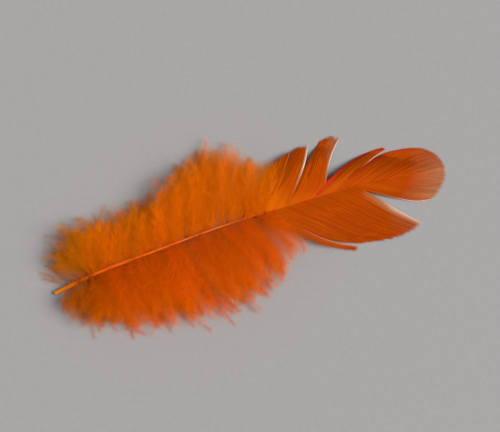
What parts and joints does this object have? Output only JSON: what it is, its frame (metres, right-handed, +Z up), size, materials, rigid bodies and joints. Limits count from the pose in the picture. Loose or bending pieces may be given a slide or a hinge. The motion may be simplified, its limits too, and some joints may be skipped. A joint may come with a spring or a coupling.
{
  "type": "goose feather",
  "caption": "Small dyed goose feather lying down: a bare quill, an arched shaft, a downy lower half and a split vane with a rounded end.",
  "frame": {"origin": "middle of the feather's outline seen from above, on the surface that it lies on", "axes": "+X along the feather from the quill's tip to the end of the vane, +Z up from the surface"},
  "size_m": [0.1044, 0.0446, 0.0095],
  "materials": {
    "down": "matt orange-dyed down, soft and loose, paler at the tips of its hairs",
    "vane": "deep orange-dyed barbs with a faint silky sheen, letting some light through at the end",
    "shaft": "smooth satin horn, light orange along the shaft and yellower at the bare quill"
  },
  "bodies": {
    "root": {"feather": "down"}
  },
  "joints": []
}
